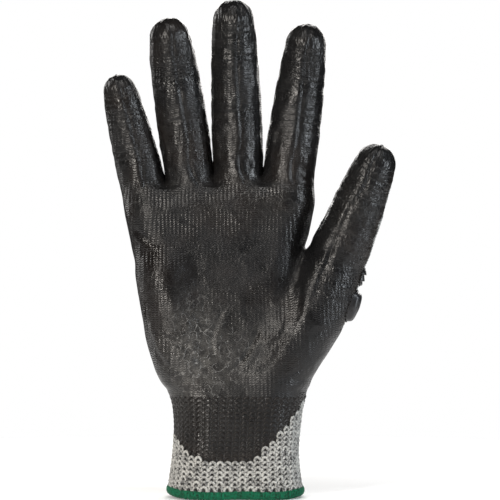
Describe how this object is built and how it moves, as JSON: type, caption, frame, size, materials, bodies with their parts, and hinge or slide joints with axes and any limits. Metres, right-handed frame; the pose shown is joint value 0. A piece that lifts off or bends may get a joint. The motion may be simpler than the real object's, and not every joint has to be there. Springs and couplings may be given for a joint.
{
  "type": "cut resistant glove",
  "caption": "Seamless knitted cut resistant glove for carving, with a dipped nitrile palm, moulded guards on the back, a ribbed cuff and an overlocked hem, formed as worn on a right hand.",
  "frame": {"origin": "centre of the wrist opening, in the plane of the hem", "axes": "+Z runs from the hem to the fingertips, -Y is the way the coated palm faces, +X is the thumb side"},
  "size_m": [0.1457, 0.0498, 0.2485],
  "materials": {
    "yarn": "fine seamless knit of light grey cut resistant melange yarn",
    "nitrile": "black foam nitrile dip, semi matt, with fine creases",
    "guard": "moulded black thermoplastic rubber, smooth satin",
    "hem_thread": "green overlocked polyester thread",
    "elastic": "pale covered elastic thread"
  },
  "bodies": {
    "cuff": {"cuff_liner": "yarn", "cuff_coat": "nitrile", "cuff_hem": "hem_thread", "cuff_elastic_threads": "elastic"},
    "palm": {"palm_liner": "yarn", "palm_coat": "nitrile", "knuckle_guard": "guard", "back_guard_index": "guard", "back_guard_middle": "guard", "back_guard_ring": "guard", "back_guard_little": "guard", "thumb_heel_guard": "guard"},
    "index_base": {"index_base_liner": "yarn", "index_base_coat": "nitrile", "index_base_guard": "guard"},
    "index_middle": {"index_middle_liner": "yarn", "index_middle_coat": "nitrile", "index_middle_guard": "guard"},
    "index_tip": {"index_tip_liner": "yarn", "index_tip_coat": "nitrile"},
    "middle_base": {"middle_base_liner": "yarn", "middle_base_coat": "nitrile", "middle_base_guard": "guard"},
    "middle_middle": {"middle_middle_liner": "yarn", "middle_middle_coat": "nitrile", "middle_middle_guard": "guard"},
    "middle_tip": {"middle_tip_liner": "yarn", "middle_tip_coat": "nitrile"},
    "ring_base": {"ring_base_liner": "yarn", "ring_base_coat": "nitrile", "ring_base_guard": "guard"},
    "ring_middle": {"ring_middle_liner": "yarn", "ring_middle_coat": "nitrile", "ring_middle_guard": "guard"},
    "ring_tip": {"ring_tip_liner": "yarn", "ring_tip_coat": "nitrile"},
    "little_base": {"little_base_liner": "yarn", "little_base_coat": "nitrile", "little_base_guard": "guard"},
    "little_middle": {"little_middle_liner": "yarn", "little_middle_coat": "nitrile", "little_middle_guard": "guard"},
    "little_tip": {"little_tip_liner": "yarn", "little_tip_coat": "nitrile"},
    "thumb_base": {"thumb_base_liner": "yarn", "thumb_base_coat": "nitrile", "thumb_base_guard": "guard"},
    "thumb_middle": {"thumb_middle_liner": "yarn", "thumb_middle_coat": "nitrile", "thumb_middle_guard": "guard"},
    "thumb_tip": {"thumb_tip_liner": "yarn", "thumb_tip_coat": "nitrile"}
  },
  "joints": [
    {"name": "wrist_bend", "type": "hinge", "parent": "cuff", "child": "palm", "pos_m": [0, 0, 0.047], "axis": [1, 0, 0], "range_deg": [-35, 35], "stiffness_Nm_per_rad": 1.5},
    {"name": "index_base_bend", "type": "hinge", "parent": "palm", "child": "index_base", "pos_m": [0.02649, -0.00485, 0.16686], "axis": [0.9978, 0, -0.0663], "range_deg": [-15, 70], "stiffness_Nm_per_rad": 0.12},
    {"name": "index_middle_bend", "type": "hinge", "parent": "index_base", "child": "index_middle", "pos_m": [0.02952, -0.0059, 0.18937], "axis": [0.9978, 0, -0.0663], "range_deg": [0, 80], "stiffness_Nm_per_rad": 0.08},
    {"name": "index_end_bend", "type": "hinge", "parent": "index_middle", "child": "index_tip", "pos_m": [0.03229, -0.00901, 0.2099], "axis": [0.9978, 0, -0.0663], "range_deg": [0, 48], "stiffness_Nm_per_rad": 0.05},
    {"name": "middle_base_bend", "type": "hinge", "parent": "palm", "child": "middle_base", "pos_m": [0.0004, -0.00476, 0.16886], "axis": [0.9999, 0, 0.0148], "range_deg": [-15, 70], "stiffness_Nm_per_rad": 0.12},
    {"name": "middle_middle_bend", "type": "hinge", "parent": "middle_base", "child": "middle_middle", "pos_m": [-0.00036, -0.00605, 0.19436], "axis": [0.9999, 0, 0.0148], "range_deg": [0, 80], "stiffness_Nm_per_rad": 0.08},
    {"name": "middle_end_bend", "type": "hinge", "parent": "middle_middle", "child": "middle_tip", "pos_m": [-0.00112, -0.01014, 0.21986], "axis": [0.9999, 0, 0.0148], "range_deg": [0, 48], "stiffness_Nm_per_rad": 0.05},
    {"name": "ring_base_bend", "type": "hinge", "parent": "palm", "child": "ring_base", "pos_m": [-0.02479, -0.00458, 0.16787], "axis": [0.9976, 0, 0.0698], "range_deg": [-15, 70], "stiffness_Nm_per_rad": 0.12},
    {"name": "ring_middle_bend", "type": "hinge", "parent": "ring_base", "child": "ring_middle", "pos_m": [-0.02793, -0.00583, 0.18996], "axis": [0.9976, 0, 0.0698], "range_deg": [0, 80], "stiffness_Nm_per_rad": 0.08},
    {"name": "ring_end_bend", "type": "hinge", "parent": "ring_middle", "child": "ring_tip", "pos_m": [-0.03113, -0.00957, 0.21246], "axis": [0.9976, 0, 0.0698], "range_deg": [0, 48], "stiffness_Nm_per_rad": 0.05},
    {"name": "little_base_bend", "type": "hinge", "parent": "palm", "child": "little_base", "pos_m": [-0.04738, -0.00427, 0.15688], "axis": [0.993, 0, 0.1184], "range_deg": [-15, 70], "stiffness_Nm_per_rad": 0.12},
    {"name": "little_middle_bend", "type": "hinge", "parent": "little_base", "child": "little_middle", "pos_m": [-0.0518, -0.00488, 0.17495], "axis": [0.993, 0, 0.1184], "range_deg": [0, 80], "stiffness_Nm_per_rad": 0.08},
    {"name": "little_end_bend", "type": "hinge", "parent": "little_middle", "child": "little_tip", "pos_m": [-0.05588, -0.0074, 0.19161], "axis": [0.993, 0, 0.1184], "range_deg": [0, 48], "stiffness_Nm_per_rad": 0.05},
    {"name": "thumb_swing", "type": "hinge", "parent": "palm", "child": "thumb_base", "pos_m": [0.0495, -0.01417, 0.1185], "axis": [0.8, 0, -0.6], "range_deg": [-10, 30], "stiffness_Nm_per_rad": 0.3},
    {"name": "thumb_base_bend", "type": "hinge", "parent": "thumb_base", "child": "thumb_middle", "pos_m": [0.05223, -0.01496, 0.13205], "axis": [0.7725, -0.5058, -0.3839], "range_deg": [-10, 12], "stiffness_Nm_per_rad": 0.15},
    {"name": "thumb_end_bend", "type": "hinge", "parent": "thumb_middle", "child": "thumb_tip", "pos_m": [0.06057, -0.01679, 0.15235], "axis": [0.7721, -0.5056, -0.385], "range_deg": [-5, 45], "stiffness_Nm_per_rad": 0.08}
  ],
  "couplings": [
    {"joint": "index_end_bend", "follows": "index_middle_bend", "ratio": 0.6},
    {"joint": "middle_end_bend", "follows": "middle_middle_bend", "ratio": 0.6},
    {"joint": "ring_end_bend", "follows": "ring_middle_bend", "ratio": 0.6},
    {"joint": "little_end_bend", "follows": "little_middle_bend", "ratio": 0.6}
  ]
}
